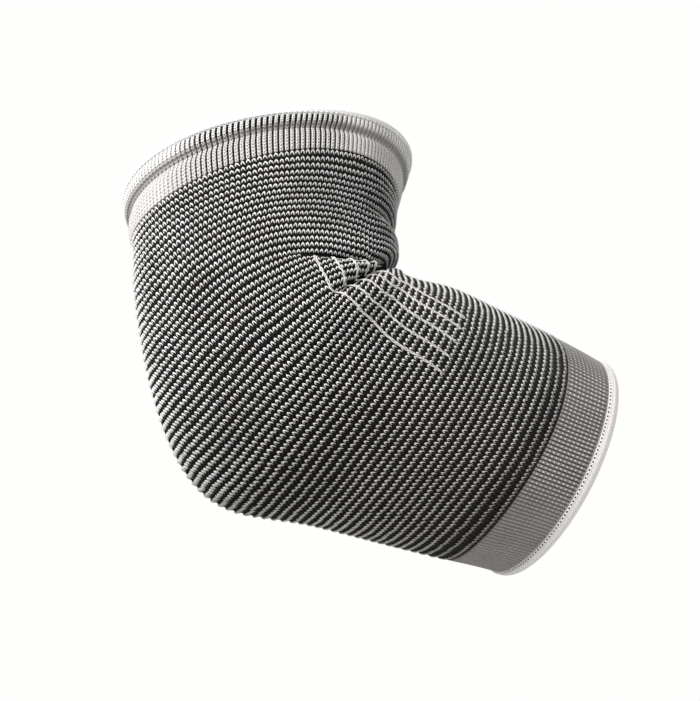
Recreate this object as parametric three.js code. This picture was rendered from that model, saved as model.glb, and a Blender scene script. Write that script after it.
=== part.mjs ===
// Elbow brace: a knitted tube that keeps the bent shape it has on an arm.
// Millimetres. The origin is the centre of the elbow, where the axes of the two legs cross.
// +Z runs up along the upper arm leg. The forearm leg leaves the elbow toward +X and down.
// The bend plane is XZ, and the two sides of the brace mirror each other across it.
import * as THREE from 'three';

// Lengths and girths of the whole brace
const UPPER_LENGTH = 69.5; // elbow centre to the upper rim
const FOREARM_LENGTH = 109.3; // elbow centre to the forearm rim
const BEND_ANGLE = 66; // degrees the forearm leg turns away from straight
const UPPER_HALF_WIDTH = 52.5;
const UPPER_HALF_DEPTH = 53;
const FOREARM_HALF_WIDTH = 43;
const FOREARM_HALF_DEPTH = 43.5;

// Fabric
const WALL = 2; // thickness of the knit
const UPPER_CUFF = 22; // height of the ribbed band with its binding, upper end
const FOREARM_CUFF = 26; // the same at the forearm end
const UPPER_BINDING = 3.3; // height of the rolled white edge, upper end
const FOREARM_BINDING = 5.2;
const BINDING_SWELL = 0.9; // how far a binding stands out past each face of the knit
const HEM_SWELL = 1.1; // how far the turned hem stands out
const CREASE_DEPTH = 3.2; // deepest fold at the inner elbow
const PIECE_GAP = 0.3; // clear space between neighbouring pieces

// Knit rows, which number the fabric from the upper cuff to the forearm cuff
const KNIT_ROWS = 60;
const UPPER_CUFF_ROWS = 8.5;
const FOREARM_CUFF_ROWS = 8;

// Mesh fineness
const COLUMNS = 48;
const BINDING_SIDES = 8;

// One row of the table for one ring of fabric around the arm.
// row: place in the fabric. legUp and legOut: the ring's middle, as shares of the two leg
// lengths. turnOuter and turnInner: tilt of the ring at the elbow side and at the inner side,
// as shares of the bend. outer and inner: reach from the middle to those two sides, as shares
// of the half width. depth: share of the half depth. bow: rows the two flanks run ahead.
const UPPER_CUFF_END = 1 - UPPER_CUFF / UPPER_LENGTH;
const UPPER_CUFF_MID = 1 - 0.49 * UPPER_CUFF / UPPER_LENGTH;
const FOREARM_CUFF_END = 1 - FOREARM_CUFF / FOREARM_LENGTH;
const FOREARM_CUFF_MID = 1 - 0.5 * FOREARM_CUFF / FOREARM_LENGTH;
const SECTION_COLUMNS = [
  'row', 'legUp', 'legOut', 'turnOuter', 'turnInner', 'outer', 'inner', 'depth', 'bow',
];
const UPPER_SECTIONS = [
  [-UPPER_CUFF_ROWS, 1.00, 0, 0.055, 0.08, 1.065, 1.025, 0.950, 0.0],
  [-0.47 * UPPER_CUFF_ROWS, UPPER_CUFF_MID, 0, 0.045, 0.05, 1.060, 0.915, 0.960, -1.0],
  [0, UPPER_CUFF_END, 0, 0.045, 0.01, 1.060, 0.795, 0.970, -1.5],
  [8, 0.425, 0, 0.110, 0.12, 1.090, 0.722, 0.960, -1.6],
  [14, 0.240, 0, 0.180, 0.24, 1.088, 0.722, 0.960, -1.6],
  [17.5, 0.135, 0, 0.240, 0.34, 1.088, 0.732, 0.965, -1.5],
  [21, 0.040, 0, 0.330, 0.46, 1.086, 0.750, 0.970, -1.2],
  [25, -0.070, 0.020, 0.430, 0.61, 1.105, 0.805, 0.980, -0.8],
];
const FOREARM_SECTIONS = [
  [34, -0.040, 0.135, 0.710, 0.70, 1.590, 0.772, 1.150, 0.0],
  [43, 0, 0.330, 0.900, 0.88, 1.370, 0.838, 1.150, 1.0],
  [52, 0, 0.550, 0.960, 0.96, 1.230, 0.950, 1.090, 1.2],
  [KNIT_ROWS, 0, FOREARM_CUFF_END, 0.990, 0.99, 1.105, 1.018, 1.040, 1.1],
  [KNIT_ROWS + 0.5 * FOREARM_CUFF_ROWS, 0, FOREARM_CUFF_MID, 0.980, 0.98, 1.035, 1.040, 1.010, 0.6],
  [KNIT_ROWS + FOREARM_CUFF_ROWS, 0, 1.00, 0.970, 0.97, 0.980, 1.040, 0.980, 0.0],
];

// One row for one fold of the inner elbow.
// row: where it crosses the inner line. gain: rows it has moved by the flank, 90 degrees round.
// depth: share of the crease depth. spread: its half width in rows at the flank. widen: how much
// wider it is at the inner line. reach: degrees round from the inner line where it dies out.
const FOLD_COLUMNS = ['row', 'gain', 'depth', 'spread', 'widen', 'reach'];
const FOLDS = [
  [9.3, 0.0, 1.00, 1.9, 0.2, 78],
  [21, -2.3, 0.85, 1.2, 0.9, 101],
  [21, 2.8, 0.95, 1.4, 0.9, 96],
];

// Outline of the turned hem of the upper cuff.
// down: share of the cuff's rows from the rim. swell: share of the hem swell.
const HEM_COLUMNS = ['down', 'swell'];
const HEM = [
  [0.00, 0.6],
  [0.18, 0.7],
  [0.32, 1.0],
  [0.44, 0.5],
  [0.54, -0.7],
  [0.66, 0.0],
  [1.00, 0.0],
];

// Steps of mesh rows through the knit body, finer across the folds.
const BODY_STEP_COLUMNS = ['from', 'to', 'steps'];
const BODY_STEPS = [
  [0, 7, 3],
  [7, 12, 5],
  [12, 17, 4],
  [17, 26, 12],
  [26, 34, 5],
  [34, KNIT_ROWS, 9],
];

const column = (names, name) => names.indexOf(name);
const degrees = (angle) => angle * Math.PI / 180;

// Smooth curve through unevenly spaced rows of a table
function curveThrough(xs, ys) {
  const last = xs.length - 1;
  const slopes = xs.map((x, i) => {
    if (i === 0) return (ys[1] - ys[0]) / (xs[1] - xs[0]);
    if (i === last) return (ys[last] - ys[last - 1]) / (xs[last] - xs[last - 1]);
    const before = xs[i] - xs[i - 1];
    const after = xs[i + 1] - xs[i];
    const slopeBefore = (ys[i] - ys[i - 1]) / before;
    const slopeAfter = (ys[i + 1] - ys[i]) / after;
    return (slopeBefore * after + slopeAfter * before) / (before + after);
  });
  return (x) => {
    let i = 0;
    while (i < last - 1 && x > xs[i + 1]) i += 1;
    const span = xs[i + 1] - xs[i];
    const t = (x - xs[i]) / span;
    const t2 = t * t;
    const t3 = t2 * t;
    return (2 * t3 - 3 * t2 + 1) * ys[i] + (t3 - 2 * t2 + t) * span * slopes[i]
      + (3 * t2 - 2 * t3) * ys[i + 1] + (t3 - t2) * span * slopes[i + 1];
  };
}

const turned = (share) => {
  const angle = degrees(BEND_ANGLE * share);
  return { x: Math.cos(angle), z: Math.sin(angle) };
};
const forearmAngle = degrees(180 - BEND_ANGLE);
const forearmAxis = { x: Math.sin(forearmAngle), z: Math.cos(forearmAngle) };

function stationOf(section, halfWidth, halfDepth) {
  const value = (name) => section[column(SECTION_COLUMNS, name)];
  const out = value('legOut') * FOREARM_LENGTH;
  const middle = {
    x: forearmAxis.x * out,
    z: forearmAxis.z * out + value('legUp') * UPPER_LENGTH,
  };
  const outerWay = turned(value('turnOuter'));
  const innerWay = turned(value('turnInner'));
  const outerReach = value('outer') * halfWidth;
  const innerReach = value('inner') * halfWidth;
  return {
    row: value('row'),
    middleX: middle.x,
    middleZ: middle.z,
    outerX: middle.x - outerWay.x * outerReach,
    outerZ: middle.z - outerWay.z * outerReach,
    innerX: middle.x + innerWay.x * innerReach,
    innerZ: middle.z + innerWay.z * innerReach,
    depth: value('depth') * halfDepth,
    bow: value('bow'),
  };
}
const stations = [
  ...UPPER_SECTIONS.map((s) => stationOf(s, UPPER_HALF_WIDTH, UPPER_HALF_DEPTH)),
  ...FOREARM_SECTIONS.map((s) => stationOf(s, FOREARM_HALF_WIDTH, FOREARM_HALF_DEPTH)),
];
const stationRows = stations.map((s) => s.row);
const guide = {};
for (const name of Object.keys(stations[0])) {
  guide[name] = curveThrough(stationRows, stations.map((s) => s[name]));
}
const hemCurve = curveThrough(
  HEM.map((h) => h[column(HEM_COLUMNS, 'down')]),
  HEM.map((h) => h[column(HEM_COLUMNS, 'swell')]),
);

// How far the fabric sinks toward the arm at a place. Angles run from the inner line.
function sinkAt(row, angle) {
  let around = Math.abs(angle) * 180 / Math.PI;
  if (around > 180) around = 360 - around;
  let sink = 0;
  for (const fold of FOLDS) {
    const value = (name) => fold[column(FOLD_COLUMNS, name)];
    const part = Math.min(1, around / value('reach'));
    const fade = 1 - part ** 6;
    const crest = value('row') + value('gain') * (around / 90) ** 2;
    const widening = 1 + value('widen') * Math.max(0, Math.cos(angle)) ** 2;
    const offset = (row - crest) / (value('spread') * widening);
    sink += CREASE_DEPTH * value('depth') * fade * Math.exp(-offset * offset);
  }
  if (row < 0) {
    sink -= HEM_SWELL * hemCurve(1 + row / UPPER_CUFF_ROWS);
  }
  return sink;
}

// A point of the fabric, `inside` millimetres in from its outer face.
// Every ring lies on its own bent sheet, and neighbouring sheets do not cross.
function fabricPoint(row, angle, inside) {
  const side = Math.sin(angle);
  const ring = row + guide.bow(row) * side * side;
  const outerX = guide.outerX(ring);
  const outerZ = guide.outerZ(ring);
  const innerX = guide.innerX(ring);
  const innerZ = guide.innerZ(ring);
  const middleX = guide.middleX(ring);
  const middleZ = guide.middleZ(ring);
  const depth = guide.depth(ring);
  const half = Math.hypot(innerX - outerX, innerZ - outerZ) / 2;
  const radius = Math.hypot(half * Math.cos(angle), depth * side);
  const scale = 1 - (sinkAt(row, angle) + inside) / radius;
  const t = Math.cos(angle) * scale;
  return new THREE.Vector3(
    middleX + (innerX - outerX) / 2 * t + ((innerX + outerX) / 2 - middleX) * t * t,
    depth * side * scale,
    middleZ + (innerZ - outerZ) / 2 * t + ((innerZ + outerZ) / 2 - middleZ) * t * t,
  );
}

// Directions of the fabric at a place: along the tube, around it and outward
function fabricFrame(row, angle) {
  const along = fabricPoint(row + 0.05, angle, 0).sub(fabricPoint(row - 0.05, angle, 0));
  const around = fabricPoint(row, angle + 0.01, 0).sub(fabricPoint(row, angle - 0.01, 0));
  const rate = along.length() / 0.1;
  along.normalize();
  around.normalize();
  const inward = fabricPoint(row, angle, 1).sub(fabricPoint(row, angle, 0)).normalize();
  const normal = new THREE.Vector3().crossVectors(around, along).normalize();
  if (normal.dot(inward) > 0) normal.negate();
  return { along, around, normal, inward, rate };
}

// The row that lies `distance` millimetres further along the tube
const rowPast = (row, angle, distance) => row + distance / fabricFrame(row, angle).rate;

// Depth inside the outer face at which the inner face lies, measured along the ring's sheet
function wallDepth(row, angle) {
  const frame = fabricFrame(row, angle);
  return WALL / Math.max(0.55, -frame.normal.dot(frame.inward));
}

const rowEnds = {
  upperRim: () => -UPPER_CUFF_ROWS,
  upperBinding: (angle) => rowPast(-UPPER_CUFF_ROWS, angle, UPPER_BINDING),
  upperCuff: () => 0,
  forearmCuff: () => KNIT_ROWS,
  forearmBinding: (angle) => rowPast(KNIT_ROWS + FOREARM_CUFF_ROWS, angle, -FOREARM_BINDING),
  forearmRim: () => KNIT_ROWS + FOREARM_CUFF_ROWS,
};

// A closed solid from loops of points, the last loop joined to the first
function solidFromLoops(loops) {
  const positions = [];
  const faces = [];
  const count = loops[0].length;
  for (const loop of loops) {
    for (const point of loop) positions.push(point.x, point.y, point.z);
  }
  for (let i = 0; i < loops.length; i += 1) {
    const next = (i + 1) % loops.length;
    for (let j = 0; j < count; j += 1) {
      const k = (j + 1) % count;
      const a = i * count + j;
      const b = i * count + k;
      const c = next * count + k;
      const d = next * count + j;
      faces.push(a, c, b, a, d, c);
    }
  }
  const geometry = new THREE.BufferGeometry();
  geometry.setAttribute('position', new THREE.Float32BufferAttribute(positions, 3));
  geometry.setIndex(faces);
  geometry.computeVertexNormals();
  return geometry;
}

const angles = Array.from({ length: COLUMNS }, (_, j) => j * 2 * Math.PI / COLUMNS);

// A length of fabric as a closed tube wall. The loops run down the outer face and back up
// the inner face, so the last loop joins the first.
function tubeWall(startRow, endRow, shares) {
  const outer = shares.map((share) => angles.map((angle) => {
    const row = startRow(angle) + (endRow(angle) - startRow(angle)) * share;
    return fabricPoint(row, angle, 0);
  }));
  const inner = shares.map((share) => angles.map((angle) => {
    const row = startRow(angle) + (endRow(angle) - startRow(angle)) * share;
    return fabricPoint(row, angle, wallDepth(row, angle));
  }));
  return solidFromLoops([...outer, ...inner.reverse()]);
}

// A rolled edge: an oval section carried around the rim, `way` being +1 when the fabric
// lies further along the tube and -1 when it lies before the rim.
function rolledEdge(rimRow, way, height) {
  const loops = [];
  for (let i = 0; i < BINDING_SIDES; i += 1) {
    const turn = i * 2 * Math.PI / BINDING_SIDES;
    loops.push(angles.map((angle) => {
      const frame = fabricFrame(rimRow, angle);
      return fabricPoint(rimRow, angle, 0)
        .addScaledVector(frame.along, (way - Math.cos(turn)) * height / 2)
        .addScaledVector(frame.normal, Math.sin(turn) * (WALL / 2 + BINDING_SWELL) - WALL / 2);
    }));
  }
  return solidFromLoops(loops);
}

const evenShares = (steps) => Array.from({ length: steps + 1 }, (_, i) => i / steps);

function bodyShares() {
  const shares = [0];
  for (const step of BODY_STEPS) {
    const from = step[column(BODY_STEP_COLUMNS, 'from')];
    const to = step[column(BODY_STEP_COLUMNS, 'to')];
    const steps = step[column(BODY_STEP_COLUMNS, 'steps')];
    for (let i = 1; i <= steps; i += 1) {
      shares.push((from + (to - from) * i / steps) / KNIT_ROWS);
    }
  }
  return shares;
}

const group = new THREE.Group();
group.name = 'elbow_brace';

function addPiece(name, geometry, colour, roughness) {
  const material = new THREE.MeshStandardMaterial({ color: colour, roughness, metalness: 0 });
  material.name = `${name}_yarn`;
  const mesh = new THREE.Mesh(geometry, material);
  mesh.name = name;
  group.add(mesh);
}

const gapAfter = (end) => (angle) => rowPast(end(angle), angle, PIECE_GAP / 2);
const gapBefore = (end) => (angle) => rowPast(end(angle), angle, -PIECE_GAP / 2);

addPiece(
  'upper_binding',
  rolledEdge(rowEnds.upperRim(), 1, UPPER_BINDING - PIECE_GAP / 2),
  0xf2f0ee,
  0.85,
);
addPiece(
  'upper_cuff',
  tubeWall(gapAfter(rowEnds.upperBinding), gapBefore(rowEnds.upperCuff), evenShares(7)),
  0xa8a6a3,
  0.9,
);
addPiece(
  'knit_sleeve',
  tubeWall(gapAfter(rowEnds.upperCuff), gapBefore(rowEnds.forearmCuff), bodyShares()),
  0x5a5856,
  0.9,
);
addPiece(
  'forearm_cuff',
  tubeWall(gapAfter(rowEnds.forearmCuff), gapBefore(rowEnds.forearmBinding), evenShares(5)),
  0x868380,
  0.9,
);
addPiece(
  'forearm_binding',
  rolledEdge(rowEnds.forearmRim(), -1, FOREARM_BINDING - PIECE_GAP / 2),
  0xdcd8d5,
  0.85,
);

export default group;
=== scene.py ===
# Elbow brace: the knit, its ribbed cuffs, rolled edges and pale inner elbow yarns.
# The surface follows the same named sizes and tables as the solids, here in millimetres
# until a mesh is finished, and in metres from then on.
import math
import bmesh
import bpy
import numpy as np
from mathutils import Matrix, Vector


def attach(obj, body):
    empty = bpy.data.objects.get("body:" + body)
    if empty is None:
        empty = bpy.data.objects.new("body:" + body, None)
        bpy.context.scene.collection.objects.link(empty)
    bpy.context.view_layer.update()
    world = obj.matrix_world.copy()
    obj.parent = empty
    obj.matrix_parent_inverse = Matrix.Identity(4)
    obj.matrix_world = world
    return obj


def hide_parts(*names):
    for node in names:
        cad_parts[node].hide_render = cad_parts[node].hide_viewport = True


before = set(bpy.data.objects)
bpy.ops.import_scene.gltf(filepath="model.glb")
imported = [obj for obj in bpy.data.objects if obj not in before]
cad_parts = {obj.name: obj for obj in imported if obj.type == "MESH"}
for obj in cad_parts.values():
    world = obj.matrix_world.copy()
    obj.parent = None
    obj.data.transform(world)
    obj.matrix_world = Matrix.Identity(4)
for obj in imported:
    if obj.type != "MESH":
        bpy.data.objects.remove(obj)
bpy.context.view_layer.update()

METRES = 0.001

# Lengths and girths of the whole brace
UPPER_LENGTH = 69.5
FOREARM_LENGTH = 109.3
BEND_ANGLE = 66.0
UPPER_HALF_WIDTH = 52.5
UPPER_HALF_DEPTH = 53.0
FOREARM_HALF_WIDTH = 43.0
FOREARM_HALF_DEPTH = 43.5

# Fabric
WALL = 2.0
UPPER_CUFF = 22.0
FOREARM_CUFF = 26.0
UPPER_BINDING = 3.3
FOREARM_BINDING = 5.2
BINDING_SWELL = 0.9
HEM_SWELL = 1.1
CREASE_DEPTH = 3.2
PIECE_GAP = 0.3
CREASE_NIP = 2.4  # how much sharper the yarn folds than the solid at each crease
NIP_SPREAD = 0.55
RIDGE_SWELL = 1.1  # the fabric puffs up between the two creases
KNIT_ROWS = 60
UPPER_CUFF_ROWS = 8.5
FOREARM_CUFF_ROWS = 8.0

# Columns: row, legUp, legOut, turnOuter, turnInner, outer, inner, depth, bow
UPPER_CUFF_END = 1 - UPPER_CUFF / UPPER_LENGTH
UPPER_CUFF_MID = 1 - 0.49 * UPPER_CUFF / UPPER_LENGTH
FOREARM_CUFF_END = 1 - FOREARM_CUFF / FOREARM_LENGTH
FOREARM_CUFF_MID = 1 - 0.5 * FOREARM_CUFF / FOREARM_LENGTH
UPPER_SECTIONS = [
    (-UPPER_CUFF_ROWS, 1.00, 0, 0.055, 0.08, 1.065, 1.025, 0.950, 0.0),
    (-0.47 * UPPER_CUFF_ROWS, UPPER_CUFF_MID, 0, 0.045, 0.05, 1.060, 0.915, 0.960, -1.0),
    (0, UPPER_CUFF_END, 0, 0.045, 0.01, 1.060, 0.795, 0.970, -1.5),
    (8, 0.425, 0, 0.110, 0.12, 1.090, 0.722, 0.960, -1.6),
    (14, 0.240, 0, 0.180, 0.24, 1.088, 0.722, 0.960, -1.6),
    (17.5, 0.135, 0, 0.240, 0.34, 1.088, 0.732, 0.965, -1.5),
    (21, 0.040, 0, 0.330, 0.46, 1.086, 0.750, 0.970, -1.2),
    (25, -0.070, 0.020, 0.430, 0.61, 1.105, 0.805, 0.980, -0.8),
]
FOREARM_SECTIONS = [
    (34, -0.040, 0.135, 0.710, 0.70, 1.590, 0.772, 1.150, 0.0),
    (43, 0, 0.330, 0.900, 0.88, 1.370, 0.838, 1.150, 1.0),
    (52, 0, 0.550, 0.960, 0.96, 1.230, 0.950, 1.090, 1.2),
    (KNIT_ROWS, 0, FOREARM_CUFF_END, 0.990, 0.99, 1.105, 1.018, 1.040, 1.1),
    (KNIT_ROWS + 0.5 * FOREARM_CUFF_ROWS, 0, FOREARM_CUFF_MID, 0.980, 0.98, 1.035, 1.040, 1.010, 0.6),
    (KNIT_ROWS + FOREARM_CUFF_ROWS, 0, 1.00, 0.970, 0.97, 0.980, 1.040, 0.980, 0.0),
]
# Columns: row, gain, depth, spread, widen, reach
FOLDS = [
    (9.3, 0.0, 1.00, 1.9, 0.2, 78),
    (21, -2.3, 0.85, 1.2, 0.9, 101),
    (21, 2.8, 0.95, 1.4, 0.9, 96),
]
# The yarn's own fold lines on each flank, which bend a little more than the solid's.
# Columns: angle, upper row, upper share, lower row, lower share
FOLD_LINES = [
    (0, 20.7, 1.0, 21.4, 1.0),
    (60, 20.9, 1.0, 22.5, 1.0),
    (70, 20.9, 1.0, 22.8, 1.0),
    (80, 20.5, 1.0, 23.0, 1.0),
    (86, 19.8, 1.0, 23.2, 1.0),
    (92, 19.0, 1.0, 23.4, 1.0),
    (99, 18.2, 0.9, 23.6, 0.9),
    (103, 17.6, 0.8, 23.8, 0.3),
    (106, 17.3, 0.6, 23.9, 0.0),
    (111, 16.7, 0.2, 24.0, 0.0),
    (116, 16.3, 0.0, 24.0, 0.0),
]
# Columns: down, swell
HEM = [(0.00, 0.6), (0.18, 0.7), (0.32, 1.0), (0.44, 0.5), (0.54, -0.7), (0.66, 0.0), (1.00, 0.0)]

# Knit fineness
WALES = 170
STITCH_CELL = 4.0  # spacing of the flat stitch array before it is wrapped
UPPER_COURSE = 2.05  # least height of one course above the folds
FOREARM_COURSE = 2.65
UPPER_RIB_COURSES = 17
FOREARM_RIB_COURSES = 13
EDGE_COURSES = 8
WALE_TURN = 2 * math.pi / WALES
TUCK_FADE = (78, 108)  # degrees from the inner line over which ever fewer courses are tucked in
TUCK_SPREAD = 0.18  # rows over which a fold takes them up

# One stitch: across and down in millimetres, height over the fabric, half thickness
STITCH_LOOP = [
    (-0.60, 0.36, -0.10, 0.19),
    (-0.46, -0.08, 0.14, 0.25),
    (-0.12, -0.44, 0.24, 0.27),
    (0.26, -0.12, 0.20, 0.29),
    (0.54, 0.38, 0.00, 0.23),
    (0.80, 1.06, -0.14, 0.09),
]
STITCH_COURSE = 2.2  # the course and the wale that the loop above is drawn for
STITCH_WALE = 1.85
TALLEST_COURSE = 2.9  # stitches stop growing where the courses are further apart
CROWDED = (0.9, 1.4)  # course heights at which a stitch lies hidden in the fold and free of it
HIDDEN_DEPTH = 0.9

# Rolled edges: degrees round the roll at which the loops lie, from the ribs at the forearm
FOREARM_LOOP_TURN = 46.0
UPPER_LOOP_TURN = 140.0
LOOP_LIFT = 0.1

# Pale yarns of the inner elbow, two strands each. Their angles are given at row 26.
GRID_ANGLES = (97.1, 90.3, 83.2, 76.2, 69.4)
GRID_STARTS = (17.6, 18.6, 19.4, 20.2, 21.0)
GRID_END = 44.0
# Columns: row, drift in degrees toward the elbow side
GRID_DRIFT = [(17, 9.0), (20, 7.4), (22, 6.0), (23.3, 5.6), (24.2, 2.4), (26, 0.0), (29, 0.6), (33, 3.6),
              (38, 8.8), (44, 12.6)]
STRAND_SWING = 0.34
STRAND_TWIST = 2.6  # length over which the two strands change sides
STRAND_LIFT = (0.42, 0.16)  # mean height over the fabric, and its swing
STRAND_THICKNESS = 0.22


# ---------------------------------------------------------------- camera

PHOTO_WIDTH = 700
CAMERA_AZIMUTH = -29.0
CAMERA_ELEVATION = -26.0
CAMERA_ROLL = 9.2
CAMERA_DISTANCE = 0.600
FOCAL_PIXELS = 600 / 0.36
ORIGIN_PIXEL = (296, 347)
MIDDLE_PIXEL = (350, 350.5)


def add_camera():
    azimuth = math.radians(CAMERA_AZIMUTH)
    elevation = math.radians(CAMERA_ELEVATION)
    roll = math.radians(CAMERA_ROLL)
    back = Vector((
        math.sin(azimuth) * math.cos(elevation),
        -math.cos(azimuth) * math.cos(elevation),
        math.sin(elevation),
    ))
    level = Vector((0, 0, 1)).cross(back).normalized()
    upright = back.cross(level)
    right = level * math.cos(roll) - upright * math.sin(roll)
    up = level * math.sin(roll) + upright * math.cos(roll)
    across = (ORIGIN_PIXEL[0] - MIDDLE_PIXEL[0]) / FOCAL_PIXELS
    above = -(ORIGIN_PIXEL[1] - MIDDLE_PIXEL[1]) / FOCAL_PIXELS
    place = -CAMERA_DISTANCE * (-back + right * across + up * above)
    data = bpy.data.cameras.new("camera")
    data.sensor_width = 36
    data.sensor_fit = 'HORIZONTAL'
    data.lens = FOCAL_PIXELS / PHOTO_WIDTH * data.sensor_width
    camera = bpy.data.objects.new("camera", data)
    bpy.context.scene.collection.objects.link(camera)
    turn = Matrix((right, up, back)).transposed()
    camera.matrix_world = Matrix.Translation(place) @ turn.to_4x4()
    bpy.context.scene.camera = camera
    return right, up, back


view_right, view_up, view_back = add_camera()


# ---------------------------------------------------------------- surface

def curve_through(xs, ys):
    xs = np.asarray(xs, float)
    ys = np.asarray(ys, float)
    steps = np.diff(xs)
    rates = np.diff(ys) / steps
    slopes = np.empty_like(ys)
    slopes[0] = rates[0]
    slopes[-1] = rates[-1]
    slopes[1:-1] = (rates[:-1] * steps[1:] + rates[1:] * steps[:-1]) / (steps[:-1] + steps[1:])

    def value(x):
        i = np.clip(np.searchsorted(xs, x, side="left") - 1, 0, len(xs) - 2)
        span = xs[i + 1] - xs[i]
        t = (x - xs[i]) / span
        t2 = t * t
        t3 = t2 * t
        return ((2 * t3 - 3 * t2 + 1) * ys[i] + (t3 - 2 * t2 + t) * span * slopes[i]
                + (3 * t2 - 2 * t3) * ys[i + 1] + (t3 - t2) * span * slopes[i + 1])
    return value


def station_of(section, half_width, half_depth):
    row, leg_up, leg_out, turn_outer, turn_inner, outer, inner, depth, bow = section
    lean = math.radians(180 - BEND_ANGLE)
    out = leg_out * FOREARM_LENGTH
    middle_x = math.sin(lean) * out
    middle_z = math.cos(lean) * out + leg_up * UPPER_LENGTH
    outer_way = math.radians(BEND_ANGLE * turn_outer)
    inner_way = math.radians(BEND_ANGLE * turn_inner)
    outer_reach = outer * half_width
    inner_reach = inner * half_width
    return (
        row,
        middle_x,
        middle_z,
        middle_x - math.cos(outer_way) * outer_reach,
        middle_z - math.sin(outer_way) * outer_reach,
        middle_x + math.cos(inner_way) * inner_reach,
        middle_z + math.sin(inner_way) * inner_reach,
        depth * half_depth,
        bow,
    )


stations = np.array(
    [station_of(s, UPPER_HALF_WIDTH, UPPER_HALF_DEPTH) for s in UPPER_SECTIONS]
    + [station_of(s, FOREARM_HALF_WIDTH, FOREARM_HALF_DEPTH) for s in FOREARM_SECTIONS]
)
guide = [curve_through(stations[:, 0], stations[:, k]) for k in range(9)]
hem_curve = curve_through([h[0] for h in HEM], [h[1] for h in HEM])


def from_inner_line(angle):
    around = np.degrees(np.abs(angle)) % 360
    return np.where(around > 180, 360 - around, around)


def fold_line(which, around):
    # The row of the upper (0) or lower (1) fold at an angle, and how much of it is left there
    angles = [line[0] for line in FOLD_LINES]
    row = np.interp(around, angles, [line[1 + 2 * which] for line in FOLD_LINES])
    return row, np.interp(around, angles, [line[2 + 2 * which] for line in FOLD_LINES])


def sink_at(row, angle):
    around = from_inner_line(angle)
    sink = np.zeros_like(row)
    for which, (crossing, gain, depth, spread, widen, reach) in enumerate(FOLDS, -1):
        fade = 1 - np.minimum(1, around / reach) ** 6
        crest = crossing
        if gain:
            crest, share = fold_line(which, around)
            nip = (row - crest) / NIP_SPREAD
            sink = sink + CREASE_NIP * share * np.exp(-nip * nip)
        widening = 1 + widen * np.maximum(0, np.cos(angle)) ** 2
        offset = (row - crest) / (spread * widening)
        sink = sink + CREASE_DEPTH * depth * fade * np.exp(-offset * offset)
    upper, share = fold_line(0, around)
    lower = fold_line(1, around)[0]
    puff = np.exp(-((row - (upper + lower) / 2) / (0.2 + 0.32 * (lower - upper))) ** 2) * share
    sink = sink - RIDGE_SWELL * puff * np.interp(around, (40, 70, 100, 108), (0, 1, 1, 0))
    down = np.clip(1 + row / UPPER_CUFF_ROWS, 0, 1)
    return sink - np.where(row < 0, HEM_SWELL * hem_curve(down), 0)


def fabric_point(row, angle, inside):
    row, angle, inside = np.broadcast_arrays(
        np.asarray(row, float), np.asarray(angle, float), np.asarray(inside, float))
    side = np.sin(angle)
    ring = row + guide[8](row) * side * side
    middle_x, middle_z, outer_x, outer_z, inner_x, inner_z, depth = (guide[k](ring) for k in range(1, 8))
    half = np.hypot(inner_x - outer_x, inner_z - outer_z) / 2
    radius = np.hypot(half * np.cos(angle), depth * side)
    scale = 1 - (sink_at(row, angle) + inside) / radius
    t = np.cos(angle) * scale
    return np.stack((
        middle_x + (inner_x - outer_x) / 2 * t + ((inner_x + outer_x) / 2 - middle_x) * t * t,
        depth * side * scale,
        middle_z + (inner_z - outer_z) / 2 * t + ((inner_z + outer_z) / 2 - middle_z) * t * t,
    ), axis=-1)


def unit(v):
    return v / np.linalg.norm(v, axis=-1, keepdims=True)


def fabric_frame(row, angle):
    along = fabric_point(row + 0.05, angle, 0) - fabric_point(row - 0.05, angle, 0)
    around = fabric_point(row, angle + 0.01, 0) - fabric_point(row, angle - 0.01, 0)
    rate = np.linalg.norm(along, axis=-1) / 0.1
    inward = unit(fabric_point(row, angle, 1) - fabric_point(row, angle, 0))
    normal = unit(np.cross(around, along))
    normal = np.where(np.sum(normal * inward, axis=-1, keepdims=True) > 0, -normal, normal)
    return unit(along), normal, inward, rate


def row_past(row, angle, distance):
    return row + distance / fabric_frame(row, angle)[3]


def wall_depth(row, angle):
    along, normal, inward, rate = fabric_frame(row, angle)
    return WALL / np.maximum(0.55, -np.sum(normal * inward, axis=-1))


def upper_rim(angle):
    return np.full_like(angle, -UPPER_CUFF_ROWS)


def upper_binding_end(angle):
    return row_past(upper_rim(angle), angle, UPPER_BINDING)


def upper_cuff_end(angle):
    return np.zeros_like(angle)


def forearm_cuff_start(angle):
    return np.full_like(angle, float(KNIT_ROWS))


def forearm_rim(angle):
    return np.full_like(angle, KNIT_ROWS + FOREARM_CUFF_ROWS)


def forearm_binding_start(angle):
    return row_past(forearm_rim(angle), angle, -FOREARM_BINDING)


def just_after(end):
    return lambda angle: row_past(end(angle), angle, PIECE_GAP / 2)


def just_before(end):
    return lambda angle: row_past(end(angle), angle, -PIECE_GAP / 2)


# ---------------------------------------------------------------- courses
# Knit courses keep their height, so on the inner side, where the tube is short, the spare
# ones are tucked into the two folds.

MAP_STEPS = 1200
MAP_TURNS = 340
MAP_ROWS = np.linspace(0, KNIT_ROWS, MAP_STEPS + 1)
MAP_ANGLES = np.arange(MAP_TURNS + 1) * 2 * math.pi / MAP_TURNS
LAST_ROW = KNIT_ROWS + FOREARM_CUFF_ROWS


def look_up(table, down, angle, first=0.0, last=KNIT_ROWS):
    y = (np.clip(down, first, last) - first) / (last - first) * MAP_STEPS
    x = (angle % (2 * math.pi)) / (2 * math.pi) * MAP_TURNS
    y0 = np.minimum(y.astype(int), MAP_STEPS - 1)
    x0 = np.minimum(x.astype(int), MAP_TURNS - 1)
    fy = y - y0
    fx = x - x0
    return ((table[y0, x0] * (1 - fy) + table[y0 + 1, x0] * fy) * (1 - fx)
            + (table[y0, x0 + 1] * (1 - fy) + table[y0 + 1, x0 + 1] * fy) * fx)


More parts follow.
